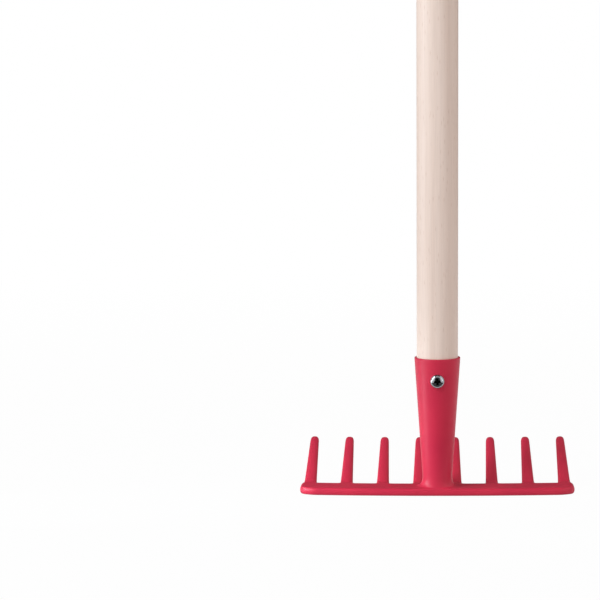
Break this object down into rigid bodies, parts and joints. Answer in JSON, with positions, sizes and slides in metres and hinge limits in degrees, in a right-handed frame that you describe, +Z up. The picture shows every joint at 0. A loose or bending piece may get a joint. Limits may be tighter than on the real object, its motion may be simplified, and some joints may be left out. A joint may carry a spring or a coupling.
{
  "type": "toy sand rake",
  "caption": "Toy sand rake: a plastic head with a row of upturned tines on a shallow bar, and a tapered socket that holds a round wooden handle with a cross-recessed screw.",
  "frame": {"origin": "on the handle's axis, at the bar's flat underside", "axes": "+Z up along the handle, X along the bar, +Y the way the tines reach back"},
  "size_m": [0.1608, 0.0785, 0.7],
  "materials": {
    "handle_wood": "sanded pale beech, bare or thinly lacquered",
    "head_plastic": "moulded red polypropylene with a soft gloss",
    "screw_zinc": "bright zinc-plated steel"
  },
  "bodies": {
    "root": {"handle": "handle_wood", "rake_head": "head_plastic", "fixing_screw": "screw_zinc"}
  },
  "joints": []
}
